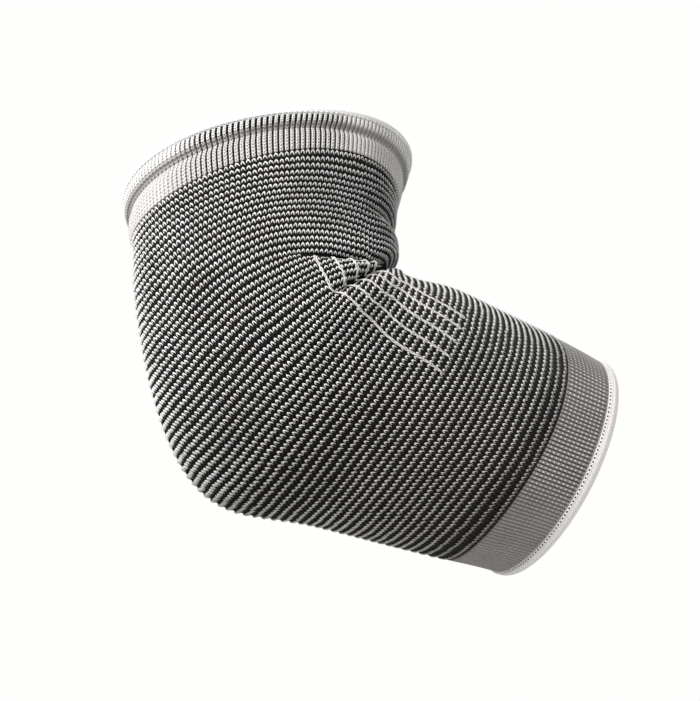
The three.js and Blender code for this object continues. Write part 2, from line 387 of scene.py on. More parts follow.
# How many wales the knit has crept round the tube, toward the elbow side on the shown flank.
# Columns: row, then the creep at each angle of CREEP_ANGLES but the last, which repeats the first
CREEP_ANGLES = (180, 195, 210, 225, 240, 255, 270, 290, 540)
WALE_CREEP = [
    (-8.5, -2.0, -2.0, -2.0, -2.0, -2.0, -2.0, -1.8, -1.6),
    (0, 0.5, 0.2, 0.0, 0.0, 0.0, 0.2, 0.4, 0.4),
    (5, 1.1, 0.3, 0.1, 0.6, 0.9, 1.6, 1.9, 1.6),
    (8, 1.0, 0.0, 0.4, 1.4, 2.2, 3.2, 3.3, 2.6),
    (12, 0.5, -0.1, 0.9, 2.4, 3.8, 5.2, 5.3, 4.0),
    (16, -0.3, -0.7, 0.7, 2.9, 5.1, 6.6, 7.0, 5.5),
    (20, -1.9, -2.0, -0.3, 2.4, 4.9, 6.8, 7.3, 6.0),
    (24, -3.6, -3.5, -1.8, 1.0, 3.4, 5.2, 6.5, 6.0),
    (28, -4.6, -4.3, -2.6, -0.1, 2.3, 4.0, 5.4, 5.6),
    (32, -4.5, -4.2, -2.6, 0.0, 2.8, 4.8, 6.6, 6.8),
    (36, -2.3, -2.3, -0.8, 2.1, 4.9, 7.2, 9.2, 8.2),
    (40, 1.5, 1.5, 3.1, 5.6, 7.9, 9.9, 11.1, 9.0),
    (44, 4.4, 4.3, 5.6, 7.7, 9.4, 11.1, 12.2, 9.6),
    (48, 5.9, 5.6, 6.7, 8.4, 9.9, 11.3, 12.2, 10.2),
    (52, 6.8, 6.4, 7.4, 8.9, 10.1, 11.2, 11.9, 10.3),
    (60, 7.7, 7.4, 8.1, 9.2, 10.1, 11.0, 11.5, 9.9),
    (68, 7.7, 7.5, 8.2, 8.9, 9.2, 9.4, 9.8, 8.2),
]


def creep_table():
    down = [line[0] for line in WALE_CREEP]
    rows = np.linspace(-UPPER_CUFF_ROWS, LAST_ROW, MAP_STEPS + 1)
    columns = [
        curve_through(down, [line[k + 1] for line in WALE_CREEP])(rows)
        for k in range(len(CREEP_ANGLES) - 1)
    ]
    columns.append(columns[0])
    place = (np.degrees(MAP_ANGLES) - 180) % 360 + 180
    return np.stack([np.interp(place, CREEP_ANGLES, values) for values in np.stack(columns, axis=1)])


CREEP = creep_table()


def wale_creep(row, angle):
    return look_up(CREEP, row, angle, -UPPER_CUFF_ROWS, LAST_ROW)


def knit_place(wale, row_at):
    # The row and angle where a wale crosses a row that itself depends on the angle
    angle = wale * WALE_TURN
    for _ in range(6):
        angle = (wale - wale_creep(row_at(angle), angle)) * WALE_TURN
    return row_at(angle), angle


# How many courses the knit lags behind the solid's rows, above and below the upper fold.
# Columns: row, then the lag at each angle of LAG_ANGLES
LAG_ANGLES = (0, 60, 75, 85, 95, 105, 120, 135, 150, 165, 180)
LAGS_ABOVE = [
    (0, 0, 0, 0, 0, 0, 0, 0, 0, 0, 0, 0),
    (5, 0.8, 1.1, 1.3, 1.3, 0.9, 0.5, -0.3, -0.5, -0.2, 0.5, 0.9),
    (8, 1.2, 1.6, 1.9, 1.8, 1.2, 0.5, -0.5, -0.6, -0.1, 0.9, 1.3),
    (11, 1.8, 2.4, 2.6, 2.3, 1.5, 0.6, -0.6, -0.6, 0.1, 1.3, 1.8),
    (14, 2.3, 3.0, 3.3, 2.9, 1.9, 0.9, -0.5, -0.4, 0.4, 1.8, 2.2),
    (17, 2.6, 3.5, 3.9, 3.5, 2.4, 1.1, -0.3, -0.2, 0.9, 2.0, 2.3),
    (20, 2.7, 3.7, 4.1, 3.8, 2.7, 1.2, -0.3, 0.0, 1.0, 1.9, 2.3),
    (24, 2.7, 3.7, 4.1, 3.8, 2.7, 1.2, -0.4, -0.2, 0.7, 1.4, 1.6),
    (60, 2.7, 3.7, 4.1, 3.8, 2.7, 1.2, 0, 0, 0, 0, 0),
]
LAGS_BELOW = [
    (0, 0, 0, 0, 0, 0, 0, 0, 0, 0, 0, 0),
    (16, 0, 0, 0, -0.4, -0.7, -0.4, -0.4, -0.3, 0.75, 1.95, 2.3),
    (20, 0, 0, 0, -0.5, -0.8, -0.6, -0.3, 0.0, 1.0, 1.9, 2.3),
    (24, 0, 0, -0.2, -0.6, -0.95, -0.8, -0.4, -0.2, 0.7, 1.4, 1.6),
    (28, 0, 0.1, 0.1, -0.6, -1.2, -1.15, -0.4, 0.0, 0.6, 1.1, 1.1),
    (32, 0.1, 0.3, 0.3, -0.45, -0.9, -0.9, -0.2, 0.4, 0.7, 1.0, 0.9),
    (36, 0.2, 0.3, 0.3, -0.3, -0.7, -0.75, -0.1, 0.3, 0.4, 0.5, 0.5),
    (40, 0.1, 0.1, 0.1, -0.35, -0.7, -0.8, -0.6, -0.3, -0.3, -0.3, -0.4),
    (44, 0, 0, -0.05, -0.35, -0.7, -0.85, -0.8, -0.7, -0.9, -1.0, -1.1),
    (48, 0, 0, 0, -0.25, -0.5, -0.7, -0.7, -0.7, -0.9, -1.1, -1.1),
    (52, 0, 0, 0, -0.2, -0.45, -0.6, -0.6, -0.7, -1.0, -1.1, -1.1),
    (56, 0, 0, 0, -0.15, -0.3, -0.45, -0.5, -0.6, -0.8, -0.9, -0.9),
    (60, 0, 0, 0, 0, 0, 0, 0, 0, 0, 0, 0),
]


def course_lag(lags, around):
    down = [lag[0] for lag in lags]
    columns = [
        curve_through(down, [lag[k + 1] for lag in lags])(MAP_ROWS)
        for k in range(len(LAG_ANGLES))
    ]
    return np.stack([curve_through(LAG_ANGLES, values)(around) for values in np.stack(columns, axis=1)])


def course_table():
    rows, angles = np.meshgrid(MAP_ROWS, MAP_ANGLES, indexing='ij')
    points = fabric_point(rows, angles, 0)
    pitch = np.linalg.norm(np.gradient(points, MAP_ROWS, axis=0), axis=-1)
    around = from_inner_line(angles)
    least = np.interp(rows, (17, 25), (UPPER_COURSE, FOREARM_COURSE))
    share = np.minimum(1, pitch / least)
    step = MAP_ROWS[1] - MAP_ROWS[0]
    courses = np.cumsum(share, axis=0) * step
    courses -= courses[0]
    upper = fold_line(0, around)[0]
    for which in (0, 1):
        crest = fold_line(which, around)[0]
        side = rows < upper if which == 0 else rows >= upper
        spare = np.sum(np.where(side, 1 - share, 0), axis=0) * step
        spare = spare * np.interp(around[0], TUCK_FADE, (1, 0))
        courses += spare[None, :] / (1 + np.exp(-(rows - crest) / TUCK_SPREAD))
    courses = courses / courses[-1] * KNIT_ROWS
    below = 1 / (1 + np.exp(-(rows - upper) / TUCK_SPREAD))
    lag = course_lag(LAGS_ABOVE, around[0]) * (1 - below) + course_lag(LAGS_BELOW, around[0]) * below
    return np.maximum.accumulate(courses - lag, axis=0)


COURSES = course_table()
ROWS_OF_COURSE = np.stack([np.interp(MAP_ROWS, column, MAP_ROWS) for column in COURSES.T], axis=1)


def row_of_course(course, angle):
    return look_up(ROWS_OF_COURSE, course, angle)


def course_of_row(row, angle):
    return look_up(COURSES, row, angle)


# ---------------------------------------------------------------- node helpers

def make(tree, kind, inputs=None, **settings):
    node = tree.nodes.new(kind)
    for name, value in settings.items():
        setattr(node, name, value)
    for name, value in (inputs or {}).items():
        socket = node.inputs[name]
        if isinstance(value, bpy.types.NodeSocket):
            tree.links.new(value, socket)
        else:
            socket.default_value = value
    return node


def calc(tree, operation, a, b=0.0, c=0.0):
    return make(tree, 'ShaderNodeMath', {0: a, 1: b, 2: c}, operation=operation).outputs[0]


def blend_colours(tree, factor, a, b):
    node = make(tree, 'ShaderNodeMix', data_type='RGBA')
    for index, value in ((0, factor), (6, a), (7, b)):
        if isinstance(value, bpy.types.NodeSocket):
            tree.links.new(value, node.inputs[index])
        else:
            node.inputs[index].default_value = value
    return node.outputs[2]


def span(tree, value, low, high, out_low=0.0, out_high=1.0):
    node = make(tree, 'ShaderNodeMapRange', {
        'Value': value, 'From Min': low, 'From Max': high, 'To Min': out_low, 'To Max': out_high,
    }, interpolation_type='SMOOTHSTEP')
    return node.outputs['Result']


def new_group(name, inputs, outputs):
    group = bpy.data.node_groups.new(name, 'ShaderNodeTree')
    for label, kind, value in inputs:
        socket = group.interface.new_socket(name=label, in_out='INPUT', socket_type=kind)
        socket.default_value = value
    for label, kind in outputs:
        group.interface.new_socket(name=label, in_out='OUTPUT', socket_type=kind)
    return group, group.nodes.new('NodeGroupInput'), group.nodes.new('NodeGroupOutput')


def place_group(tree, group, inputs):
    node = tree.nodes.new('ShaderNodeGroup')
    node.node_tree = group
    for name, value in inputs.items():
        if isinstance(value, bpy.types.NodeSocket):
            tree.links.new(value, node.inputs[name])
        else:
            node.inputs[name].default_value = value
    return node


FLOAT = 'NodeSocketFloat'
COLOUR = 'NodeSocketColor'
VECTOR = 'NodeSocketVector'


def build_fibre_group():
    # Loose fibres and uneven dye: fine specks over slow patches
    group, given, result = new_group(
        "yarn_fibres",
        [("Colour", COLOUR, (0.5, 0.5, 0.5, 1)), ("Unevenness", FLOAT, 0.2), ("Fineness", FLOAT, 2600.0)],
        [("Colour", COLOUR), ("Height", FLOAT)],
    )
    place = make(group, 'ShaderNodeTexCoord').outputs['Object']
    fine = make(group, 'ShaderNodeTexNoise', {
        'Vector': place, 'Scale': given.outputs['Fineness'], 'Detail': 2.0, 'Roughness': 0.65,
    }).outputs['Fac']
    slow = make(group, 'ShaderNodeTexNoise', {'Vector': place, 'Scale': 60.0, 'Detail': 2.0}).outputs['Fac']
    mixed = calc(group, 'ADD', calc(group, 'MULTIPLY', fine, 0.75), calc(group, 'MULTIPLY', slow, 0.25))
    swing = calc(group, 'MULTIPLY', calc(group, 'SUBTRACT', mixed, 0.5), given.outputs['Unevenness'])
    gain = calc(group, 'MULTIPLY_ADD', swing, 4.0, 1.0)
    tone = make(group, 'ShaderNodeVectorMath', {0: given.outputs['Colour']}, operation='SCALE')
    group.links.new(gain, tone.inputs['Scale'])
    group.links.new(tone.outputs[0], result.inputs['Colour'])
    group.links.new(fine, result.inputs['Height'])
    return group


def build_knit_group():
    # Place inside one stitch cell: distance from the wale's middle, the gap beside it, a chevron
    group, given, result = new_group(
        "stitch_cell",
        [("Stitches", VECTOR, (0, 0, 0)), ("Slant", FLOAT, 0.5)],
        [("Across", FLOAT), ("Gap", FLOAT), ("Chevron", FLOAT)],
    )
    parts = make(group, 'ShaderNodeSeparateXYZ', {0: given.outputs['Stitches']})
    across = calc(group, 'ABSOLUTE', calc(group, 'SUBTRACT', calc(group, 'FRACT', parts.outputs[0]), 0.5))
    slanted = calc(group, 'MULTIPLY_ADD', across, given.outputs['Slant'], parts.outputs[1])
    wave = calc(group, 'COSINE', calc(group, 'MULTIPLY', slanted, 2 * math.pi))
    chevron = calc(group, 'MULTIPLY_ADD', wave, 0.5, 0.5)
    gap = span(group, across, 0.36, 0.48)
    for label, value in (("Across", across), ("Gap", gap), ("Chevron", chevron)):
        group.links.new(value, result.inputs[label])
    return group


yarn_fibres = build_fibre_group()
stitch_cell = build_knit_group()


def new_material(name, roughness, sheen):
    material = bpy.data.materials.new(name)
    material.use_nodes = True
    tree = material.node_tree
    shader = tree.nodes['Principled BSDF']
    shader.inputs['Roughness'].default_value = roughness
    shader.inputs['Sheen Weight'].default_value = sheen
    shader.inputs['Sheen Roughness'].default_value = 0.5
    shader.inputs['Specular IOR Level'].default_value = 0.12
    return material, tree, shader


def stitch_map(tree):
    return make(tree, 'ShaderNodeUVMap', uv_map="knit").outputs['UV']


def stitch_parts(tree):
    # The wale and the course of a point
    parts = make(tree, 'ShaderNodeSeparateXYZ', {0: stitch_map(tree)})
    return parts.outputs[0], parts.outputs[1]


def stitch_place(tree, slant):
    # Where in its stitch a point lies
    cell = place_group(tree, stitch_cell, {'Stitches': stitch_map(tree), 'Slant': slant})
    return cell.outputs['Across'], cell.outputs['Gap'], cell.outputs['Chevron']


def cover(tree, shader, tone, unevenness, fineness, distance, relief=None, fibre_share=1.0):
    # The tone broken up by fibres, and their relief over that of the stitches
    fibres = place_group(
        tree, yarn_fibres, {'Colour': tone, 'Unevenness': unevenness, 'Fineness': fineness})
    tree.links.new(fibres.outputs['Colour'], shader.inputs['Base Color'])
    height = fibres.outputs['Height']
    if relief is not None:
        height = calc(tree, 'MULTIPLY_ADD', height, fibre_share, relief)
    bump = make(tree, 'ShaderNodeBump', {'Height': height, 'Distance': distance, 'Strength': 1.0})
    tree.links.new(bump.outputs['Normal'], shader.inputs['Normal'])


def wale_band(tree, creep, edges):
    # 1 between the middle two edges and 0 outside: wales from the inner line, on both flanks
    wale = calc(tree, 'SUBTRACT', calc(tree, 'ADD', stitch_parts(tree)[0], WALES), creep)
    turn = calc(tree, 'SUBTRACT', calc(tree, 'MODULO', wale, WALES), WALES / 2)
    wale = calc(tree, 'SUBTRACT', WALES / 2, calc(tree, 'ABSOLUTE', turn))
    rising = span(tree, wale, edges[0], edges[1])
    falling = span(tree, wale, edges[2], edges[3], 1.0, 0.0)
    return calc(tree, 'MULTIPLY', rising, falling)


def dark_knit_material():
    # The ground between the white stitches, greyer toward the forearm and the inner line, with painted
    # shade in the hollows of its stitches and painted highlight on their crowns
    material, tree, shader = new_material("dark_body_knit", 0.9, 0.0)
    across, gap, chevron = stitch_place(tree, 1.1)
    course = stitch_parts(tree)[1]
    faded = span(tree, course, 24.0, 56.0)
    inner = wale_band(tree, FOREARM_CREEP, (-1, 0, 30, 46))
    inner = calc(tree, 'MULTIPLY', inner, span(tree, course, 22.0, 36.0))
    shaded_hollow = blend_colours(tree, faded, (0.0030, 0.0026, 0.0023, 1), (0.0100, 0.0090, 0.0080, 1))
    shaded_hollow = blend_colours(tree, inner, shaded_hollow, (0.024, 0.0215, 0.0195, 1))
    lit_crown = blend_colours(tree, faded, (0.015, 0.0135, 0.0125, 1), (0.034, 0.0305, 0.028, 1))
    lit_crown = blend_colours(tree, inner, lit_crown, (0.062, 0.056, 0.052, 1))
    # Painted shade and highlight: the one dark yarn is darker in the hollows and lighter on the crowns
    tone = blend_colours(tree, chevron, shaded_hollow, lit_crown)
    relief = calc(tree, 'MULTIPLY_ADD', gap, -0.6, chevron)
    cover(tree, shader, tone, 0.5, 2400.0, 0.0004, relief, 0.25)
    return material


def reverse_knit_material():
    # Inside of the tube: pale floats between dark purl bumps
    material, tree, shader = new_material("reverse_knit", 0.9, 0.1)
    across, gap, chevron = stitch_place(tree, -0.4)
    floats = span(tree, chevron, 0.45, 0.75)
    tone = blend_colours(tree, floats, (0.020, 0.018, 0.017, 1), (0.30, 0.29, 0.28, 1))
    cover(tree, shader, tone, 0.4, 2400.0, 0.0004, chevron, 0.25)
    return material


def stitch_yarn_material(name, colour):
    # The shade attribute blends the yarn toward near black: painted shade, times each stitch's own random
    # tone
    material, tree, shader = new_material(name, 0.75, 0.2)
    shade = make(tree, 'ShaderNodeAttribute', attribute_name="shade").outputs['Fac']
    tone = blend_colours(tree, shade, (0.03, 0.028, 0.026, 1), colour)
    cover(tree, shader, tone, 0.25, 3500.0, 0.00008)
    return material


def pale_rib_material():
    # White ribs with black gaps on the flanks, a hem painted lighter against the shade of its bulge and the
    # binding, and painted shade in the groove below it
    material, tree, shader = new_material("pale_upper_rib", 0.82, 0.15)
    across, gap, chevron = stitch_place(tree, 0.9)
    course = stitch_parts(tree)[1]
    apart = wale_band(tree, 0.0, (36, 44, 66, 76))
    pinch = calc(tree, 'MULTIPLY', span(tree, chevron, 0.62, 0.15), span(tree, across, 0.20, 0.06))
    pinch = calc(tree, 'MULTIPLY', pinch, calc(tree, 'MULTIPLY_ADD', apart, 0.8, 0.2))
    wider = calc(tree, 'MULTIPLY', calc(tree, 'MULTIPLY', span(tree, course, 8.0, 7.0), 0.06), apart)
    face = blend_colours(tree, apart, (0.68, 0.66, 0.65, 1), (0.66, 0.645, 0.635, 1))
    # Painted light: the hem's face is lightened against the shade that its bulge and the binding cast
    face = blend_colours(tree, span(tree, course, 7.2, 6.2), face, (0.90, 0.885, 0.875, 1))
    rib = blend_colours(tree, pinch, face, (0.13, 0.12, 0.115, 1))
    dark = blend_colours(tree, apart, (0.42, 0.405, 0.395, 1), (0.006, 0.0055, 0.005, 1))
    tone = blend_colours(tree, span(tree, calc(tree, 'ADD', across, wider), 0.28, 0.36), rib, dark)
    # Painted shade: the ribs are darkened to grey in the groove below the hem, where the fold lies in shade
    painted_groove_shade = calc(tree, 'MULTIPLY', span(tree, course, 6.9, 8.0), span(tree, course, 9.8, 8.6))
    tone = blend_colours(tree, calc(tree, 'MULTIPLY', painted_groove_shade, 0.62), tone, (0.15, 0.138, 0.132, 1))
    cover(tree, shader, tone, 0.4, 2200.0, 0.0003, chevron, 0.3)
    return material


def grey_rib_material():
    # Grey ribs with a white dot in each stitch; the dots and the gaps fade off the flanks
    material, tree, shader = new_material("grey_forearm_rib", 0.85, 0.12)
    across, gap, chevron = stitch_place(tree, 0.7)
    dot = calc(tree, 'MULTIPLY', span(tree, chevron, 0.55, 0.95), span(tree, across, 0.26, 0.12))
    apart = wale_band(tree, FOREARM_CREEP, (18, 30, 58, 72))
    inner = wale_band(tree, FOREARM_CREEP, (-1, 0, 26, 42))
    face = blend_colours(tree, inner, (0.29, 0.275, 0.265, 1), (0.40, 0.385, 0.375, 1))
    face = blend_colours(tree, apart, face, (0.26, 0.248, 0.24, 1))
    bright = blend_colours(tree, apart, (0.48, 0.465, 0.45, 1), (0.92, 0.90, 0.88, 1))
    rib = blend_colours(tree, dot, face, bright)
    dark = blend_colours(tree, inner, (0.17, 0.16, 0.152, 1), (0.27, 0.258, 0.25, 1))
    dark = blend_colours(tree, apart, dark, (0.014, 0.0125, 0.0115, 1))
    tone = blend_colours(tree, span(tree, across, 0.34, 0.42), rib, dark)
    cover(tree, shader, tone, 0.4, 2200.0, 0.0003, dot, 0.3)
    return material


def edge_material(name, colour, turned, shaded_hollow, painted_holes_at=None):
    # From colour beside the ribs to turned at the rim, with painted shade in the hollows of the stitches
    # and a dark dot of painted shade for the hole inside each loop at a course
    material, tree, shader = new_material(name, 0.8, 0.25)
    across, gap, chevron = stitch_place(tree, 0.8)
    course = stitch_parts(tree)[1]
    face = blend_colours(tree, span(tree, course, 1.0, 2.0), colour, turned)
    # Painted shade: the yarn is darkened in the hollows of the stitches
    tone = blend_colours(tree, span(tree, chevron, 0.3, 0.0), face, shaded_hollow)
    # Painted shade: a dark dot stands for each hole, where the shaded inside of the roll would show through
    if painted_holes_at is not None:
        aside = calc(tree, 'MULTIPLY', across, HOLE_FINENESS)
        along = calc(tree, 'MULTIPLY', calc(tree, 'SUBTRACT', course, painted_holes_at), HOLE_FINENESS)
        away = calc(tree, 'MULTIPLY_ADD', aside, aside, calc(tree, 'MULTIPLY', along, along))
        tone = blend_colours(tree, span(tree, away, 1.1, 0.6), tone, (0.03, 0.026, 0.024, 1))
    cover(tree, shader, tone, 0.15, 2600.0, 0.0001, calc(tree, 'MULTIPLY', chevron, 0.4))
    return material


FOREARM_CREEP = 9.0  # wales that the knit has crept at the forearm
# Size of the dark dot of painted shade that stands for each hole
HOLE_FINENESS = 4.2  # one over the radius of a hole, in wales and courses
dark_knit = dark_knit_material()
reverse_knit = reverse_knit_material()
white_stitch_yarn = stitch_yarn_material("white_stitch_yarn", (0.93, 0.92, 0.91, 1))
pale_grid_yarn = stitch_yarn_material("pale_grid_yarn", (0.80, 0.775, 0.76, 1))
pale_rib = pale_rib_material()
grey_rib = grey_rib_material()
white_edge = edge_material(
    "white_upper_edge", (0.93, 0.92, 0.91, 1), (0.93, 0.92, 0.91, 1), (0.80, 0.78, 0.77, 1))
warm_edge = edge_material(
    "warm_forearm_edge", (0.74, 0.70, 0.685, 1), (0.92, 0.885, 0.87, 1), (0.72, 0.68, 0.665, 1),
    FOREARM_LOOP_TURN / 360 * EDGE_COURSES)


# ---------------------------------------------------------------- mesh helpers

def finish_piece(name, mesh, materials, node=None):
    for material in materials:
        mesh.materials.append(material)
    mesh.shade_smooth()
    piece = bpy.data.objects.new(name, mesh)
    bpy.context.scene.collection.objects.link(piece)
    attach(piece, "root")
    if node:
        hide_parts(node)
    return piece


def mesh_points(mesh):
    flat = np.empty(len(mesh.vertices) * 3)
    mesh.vertices.foreach_get("co", flat)
    return flat.reshape(-1, 3)


def set_shade(mesh, values):
    shade = mesh.attributes.new("shade", 'FLOAT', 'POINT')
    shade.data.foreach_set("value", values)


def evaluated_mesh(holder):
    depsgraph = bpy.context.evaluated_depsgraph_get()
    mesh = bpy.data.meshes.new_from_object(holder.evaluated_get(depsgraph))
    bpy.data.objects.remove(holder)
    return mesh


def bent_grid(name, across, down, bend, inner_from=None):
    # A flat grid bent round into a closed skin. bend takes the two shares of the way over
    # the grid and gives points in millimetres and stitch coordinates.
    bm = bmesh.new()
    bm.loops.layers.uv.new("knit")
    bmesh.ops.create_grid(bm, x_segments=across, y_segments=down, size=0.5, calc_uvs=True)
    mesh = bpy.data.meshes.new(name)
    bm.to_mesh(mesh)
    bm.free()
    flat = mesh_points(mesh) + 0.5
    points, stitches = bend(flat[:, 0], flat[:, 1])
    mesh.vertices.foreach_set("co", (points * METRES).ravel())
    corner = np.empty(len(mesh.loops), int)
    mesh.loops.foreach_get("vertex_index", corner)
    mesh.uv_layers["knit"].data.foreach_set("uv", stitches[corner].ravel())
    if inner_from is not None:
        first = np.empty(len(mesh.polygons), int)
        mesh.polygons.foreach_get("loop_start", first)
        middle = flat[corner[first]][:, 1]
        later = flat[corner[first + 2]][:, 1]
        inner = (np.minimum(middle, later) >= inner_from - 1e-6).astype(int)
        mesh.polygons.foreach_set("material_index", inner)
    bm = bmesh.new()
    bm.from_mesh(mesh)
    bmesh.ops.remove_doubles(bm, verts=bm.verts, dist=1e-6)
    bmesh.ops.recalc_face_normals(bm, faces=bm.faces)
    bm.to_mesh(mesh)
    bm.free()
    return mesh


def curve_tubes(name, paths, widths, closed=False):
    # Four-sided tubes along lists of points, one spline for each
    data = bpy.data.curves.new(name, 'CURVE')
    data.dimensions = '3D'
    data.bevel_depth = 1.0
    data.bevel_resolution = 0
    data.use_fill_caps = True
    for path, width in zip(paths, widths):
        spline = data.splines.new('POLY')
        spline.points.add(len(path) - 1)
        flat = np.concatenate((path, np.ones((len(path), 1))), axis=1)
        spline.use_cyclic_u = closed
        spline.points.foreach_set("co", flat.ravel())
        spline.points.foreach_set("radius", np.broadcast_to(width, len(path)).copy())
    holder = bpy.data.objects.new(name, data)
    bpy.context.scene.collection.objects.link(holder)
    mesh = evaluated_mesh(holder)
    bpy.data.curves.remove(data)
    return mesh


def wall_mesh(name, start_row, end_row, across, outer_shares, inner_steps, relief, stitches_of):
    # The grid runs down the outer face, over the edge and back up the inner face
    outer_steps = len(outer_shares) - 1
    down = outer_steps + inner_steps + 2
    knots = np.concatenate((outer_shares, np.linspace(1, 0, inner_steps + 1), (0,)))
    side = np.concatenate((np.zeros(outer_steps + 1), np.ones(inner_steps + 1), (0,)))

    def bend(x, y):
        index = np.rint(y * down).astype(int)

        def row_at(angle):
            first = start_row(angle)
            return first + (end_row(angle) - first) * knots[index]
        row, angle = knit_place(x * WALES, row_at)
        outward = relief(angle, row, x) * (1 - side[index])
        inside = np.where(side[index] > 0, wall_depth(row, angle), -outward)
        return fabric_point(row, angle, inside), stitches_of(row, angle, x)

    return bent_grid(name, across, down, bend, inner_from=(outer_steps + 1) / down)


def plain(angle, row, x):
    return np.zeros_like(row)


# ---------------------------------------------------------------- body knit

def body_stitches(row, angle, x):
    return np.stack((x * WALES, course_of_row(row, angle)), axis=-1)


BODY_SHARES = np.concatenate((
    np.linspace(0, 16, 40, endpoint=False),
    np.linspace(16, 27, 90, endpoint=False),
    np.linspace(27, 60, 67),
)) / KNIT_ROWS
sleeve_mesh = wall_mesh(
    "sleeve_fabric", just_after(upper_cuff_end), just_before(forearm_cuff_start),
    240, BODY_SHARES, 100, plain, body_stitches)
sleeve_fabric = finish_piece(
    "sleeve_fabric", sleeve_mesh, (dark_knit, reverse_knit), "knit_sleeve")


def stitch_array(first, last):
    loop = np.array(STITCH_LOOP)
    mesh = curve_tubes("stitch", [loop[:, :3]], [loop[:, 3]])
    holder = bpy.data.objects.new("stitch_array", mesh)
    bpy.context.scene.collection.objects.link(holder)
    for count, offset in ((WALES, (STITCH_CELL, 0, 0)), (last - first, (0, STITCH_CELL, 0))):
        array = holder.modifiers.new("repeat", 'ARRAY')
        array.count = count
        array.use_relative_offset = False
        array.use_constant_offset = True
        array.constant_offset_displace = offset
    result = evaluated_mesh(holder)
    bpy.data.meshes.remove(mesh)
    return result


def stitch_painted_shade(course, angle, down):
    # Painted shade on the white yarn: darker toward the forearm, most toward the outer side, which faces
    # away from the key light, at the top of the inner side, at the tip of the elbow and in the last rows
    # before the cuff, and darkest at the feet of the stitches, which tuck under the loops above
    around = from_inner_line(angle)
    far = np.interp(course, (28, 60), (0, 1)) * np.interp(around, (60, 110, 180), (0.35, 0.6, 1))
    feet = np.interp(down, (-0.1, 0.45, 0.8), (0, 0.25, 1))
    last = np.interp(course, (56.5, 58), (1, 0.7))
    top = np.interp(around, (98, 122), (0.34, 0)) * np.interp(course, (10, 16), (1, 0))
    tip = np.interp(around, (128, 158), (0, 0.36)) * np.interp(course, (20, 29, 40, 52), (0, 1, 1, 0))
    return (1 - np.maximum(0.5 * far, tip)) * (1 - top) * (1 - feet * 0.85) * last


def wrap_stitches(name, first, last, seed):
    mesh = stitch_array(first, last)
    flat = mesh_points(mesh)
    wale = np.rint(flat[:, 0] / STITCH_CELL).astype(int)
    course = np.rint(flat[:, 1] / STITCH_CELL).astype(int)
    local_x = flat[:, 0] - wale * STITCH_CELL
    local_y = flat[:, 1] - course * STITCH_CELL
    chance = np.random.default_rng(seed)
    size = (WALES, last - first)
    lean = chance.normal(0, 0.05, size)[wale, course]
    plump = chance.normal(1, 0.06, size)[wale, course]
    shift = chance.normal(0, 0.035, size)[wale, course]
    tone = np.clip(chance.normal(0.92, 0.08, size), 0.5, 1.0)[wale, course]
    centre = first + course + 0.5
    middle = knit_place(wale + 0.5, lambda angle: row_of_course(centre, angle))[1]
    above = row_of_course(centre - 0.5, middle)
    below = row_of_course(centre + 0.5, middle)
    upper = fabric_point(above, middle, 0)
    lower = fabric_point(below, middle, 0)
    pitch = np.maximum(0.05, np.linalg.norm(lower - upper, axis=-1))
    x = (local_x + lean * local_y) * plump
    y = local_y / STITCH_COURSE * np.minimum(1, TALLEST_COURSE / pitch) + shift
    hidden = np.interp(pitch, CROWDED, (1, 0))
    height = flat[:, 2] * plump * np.minimum(1, pitch / CROWDED[1]) - HIDDEN_DEPTH * hidden
    row, angle = knit_place(wale + 0.5 + x / STITCH_WALE, lambda angle: row_of_course(centre + y, angle))
    edge = np.clip(row, 0.1, KNIT_ROWS - 0.1)
    mesh.vertices.foreach_set("co", (fabric_point(edge, angle, -height) * METRES).ravel())
    # The shade attribute: each stitch's own random tone times the painted shade
    set_shade(mesh, tone * stitch_painted_shade(centre, middle, local_y))
    return finish_piece(name, mesh, (white_stitch_yarn,), None)


stitches = [
    wrap_stitches("stitches_above_elbow", 0, 20, 11),
    wrap_stitches("stitches_at_elbow", 20, 40, 12),
    wrap_stitches("stitches_below_elbow", 40, 60, 13),
]


# ---------------------------------------------------------------- pale yarns of the inner elbow

def grid_yarn_paths():
    drift = curve_through([d[0] for d in GRID_DRIFT], [d[1] for d in GRID_DRIFT])
    paths = []
    for side in (-1, 1):
        for start, base in zip(GRID_STARTS, GRID_ANGLES):
            row = np.linspace(start, GRID_END, 120)
            angle = side * np.radians(base + drift(row))
            middle = fabric_point(row, angle, 0)
            along, normal = fabric_frame(row, angle)[:2]
            travelled = np.concatenate(((0,), np.cumsum(np.linalg.norm(np.diff(middle, axis=0), axis=-1))))
            for phase in (0, math.pi):
                swing = STRAND_SWING * np.sin(travelled / STRAND_TWIST * math.pi + phase)
                rise = np.cos(travelled / STRAND_TWIST * 2 * math.pi + phase)
                lift = STRAND_LIFT[0] + STRAND_LIFT[1] * rise
                path = middle + np.cross(along, normal) * swing[:, None] + normal * lift[:, None]
                paths.append(path * METRES)
    return paths


grid_paths = grid_yarn_paths()
grid_mesh = curve_tubes("inner_elbow_yarns", grid_paths, [STRAND_THICKNESS * METRES] * len(grid_paths))
set_shade(grid_mesh, np.full(len(grid_mesh.vertices), 0.95))
inner_elbow_yarns = finish_piece("inner_elbow_yarns", grid_mesh, (pale_grid_yarn,), None)


# ---------------------------------------------------------------- cuffs

def rib_relief(height, sink):
    # The ribs lie closed toward the inner line and the back, and stand apart on the flanks
    def relief(angle, row, x):
        place = np.abs((x * WALES) % 1 - 0.5)
        wale = WALES / 2 - np.abs((x * WALES) % WALES - WALES / 2)
        depth = (height + sink) * np.interp(wale, (28, 42, 66, 78), (0.4, 1, 1, 0.4))
        return height - depth * np.clip((place - 0.22) / 0.2, 0, 1) ** 2
    return relief


def upper_rib_stitches(row, angle, x):
    return np.stack((x * WALES, (row / UPPER_CUFF_ROWS + 1) * UPPER_RIB_COURSES), axis=-1)


